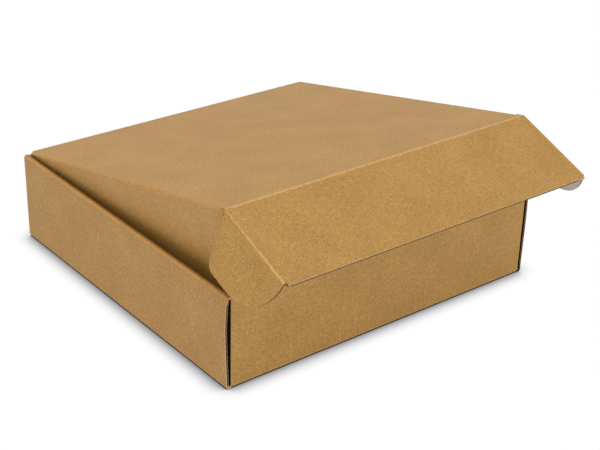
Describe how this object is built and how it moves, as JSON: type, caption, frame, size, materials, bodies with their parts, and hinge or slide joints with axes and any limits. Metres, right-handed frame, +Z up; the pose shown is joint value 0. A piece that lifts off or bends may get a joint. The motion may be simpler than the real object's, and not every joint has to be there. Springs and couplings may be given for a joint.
{
  "type": "corrugated mailer box",
  "caption": "Flat square mailer folded from one corrugated sheet, with rolled side walls and a hinged lid whose tuck flap and rounded ears lock inside the front wall.",
  "frame": {"origin": "middle of the base's underside", "axes": "+X to the box's right, +Y to the back where the lid is hinged, +Z up"},
  "size_m": [0.2658, 0.295, 0.116],
  "materials": {
    "kraft_board": "matt kraft liner"
  },
  "bodies": {
    "base": {"box_base": "kraft_board"},
    "lid": {"box_lid": "kraft_board"},
    "tuck": {"tuck_flap": "kraft_board"},
    "right_ear": {"ear_right": "kraft_board"},
    "left_ear": {"ear_left": "kraft_board"}
  },
  "joints": [
    {"name": "lid_fold", "type": "hinge", "parent": "base", "child": "lid", "pos_m": [0, 0.12175, 0.06395], "axis": [-1, 0, 0], "range_deg": [-3, 168]},
    {"name": "tuck_fold", "type": "hinge", "parent": "lid", "child": "tuck", "pos_m": [0, -0.11435, 0.11521], "axis": [1, 0, 0], "range_deg": [-34.1, 25]},
    {"name": "ear_fold_right", "type": "hinge", "parent": "tuck", "child": "right_ear", "pos_m": [0.12115, -0.11435, 0.11521], "axis": [0, 0.9282, 0.3722], "range_deg": [-71, 3]},
    {"name": "ear_fold_left", "type": "hinge", "parent": "tuck", "child": "left_ear", "pos_m": [-0.12115, -0.11435, 0.11521], "axis": [0, -0.9282, -0.3722], "range_deg": [-71, 3]}
  ]
}
